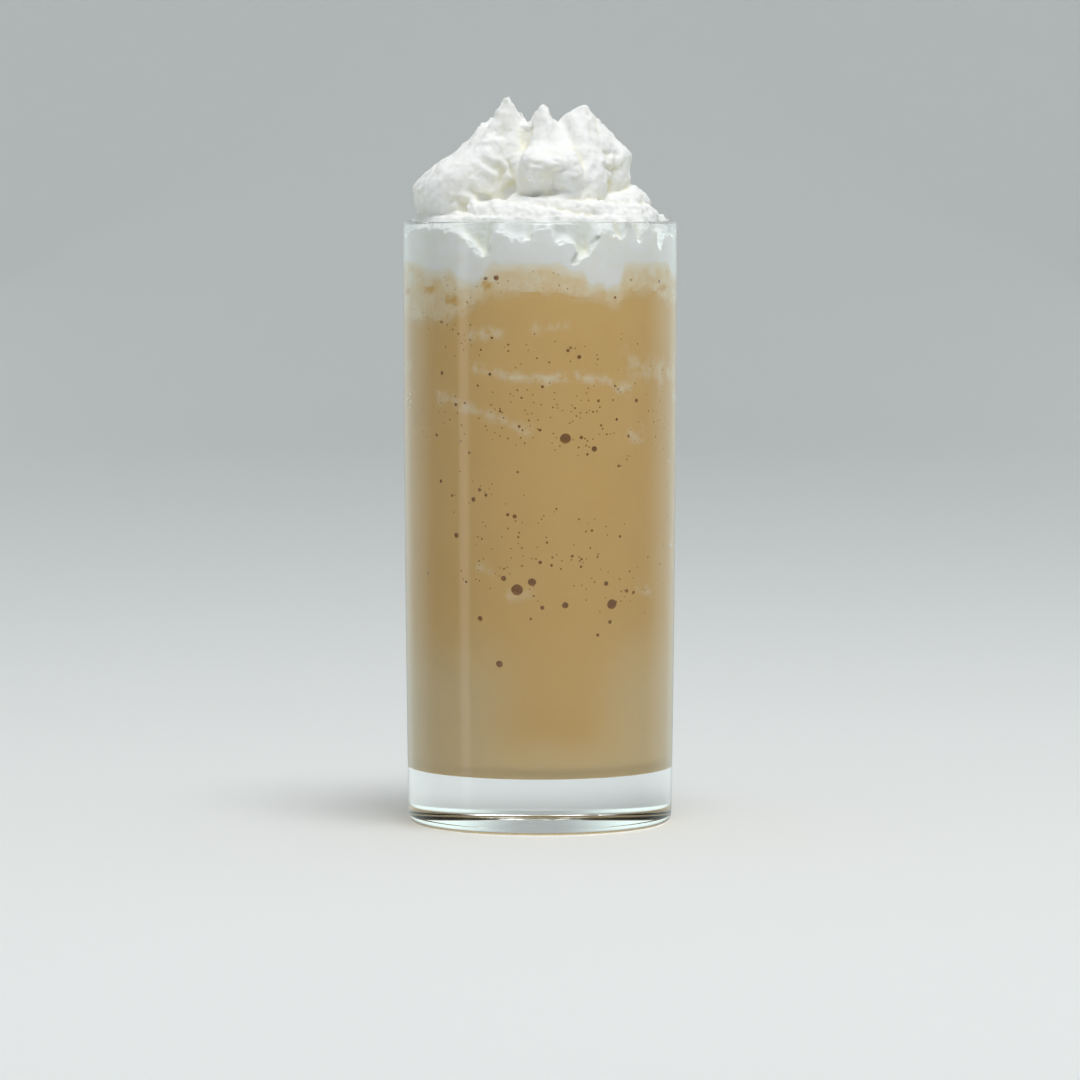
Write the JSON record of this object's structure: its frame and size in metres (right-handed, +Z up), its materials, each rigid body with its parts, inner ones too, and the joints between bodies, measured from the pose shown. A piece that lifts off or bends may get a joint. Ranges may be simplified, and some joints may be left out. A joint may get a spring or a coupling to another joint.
{
  "type": "iced coffee in a glass",
  "caption": "Blended iced coffee in a tall straight clear glass with a heavy foot, a pale froth layer and a piped crown of whipped cream.",
  "frame": {"origin": "centre of the glass's foot, on the surface it stands on", "axes": "+Z up along the glass's axis, -Y towards the front as pictured, +X to the right as seen from the front"},
  "size_m": [0.0644, 0.0644, 0.1714],
  "materials": {
    "clear_glass": "clear, polished",
    "blended_coffee": "opaque milky coffee with small air bubbles",
    "coffee_froth": "fine pale foam",
    "whipped_cream": "soft matt cream with ragged ridges"
  },
  "bodies": {
    "root": {"glass": "clear_glass", "iced_coffee": "blended_coffee", "froth": "coffee_froth", "whipped_cream": "whipped_cream"}
  },
  "joints": []
}
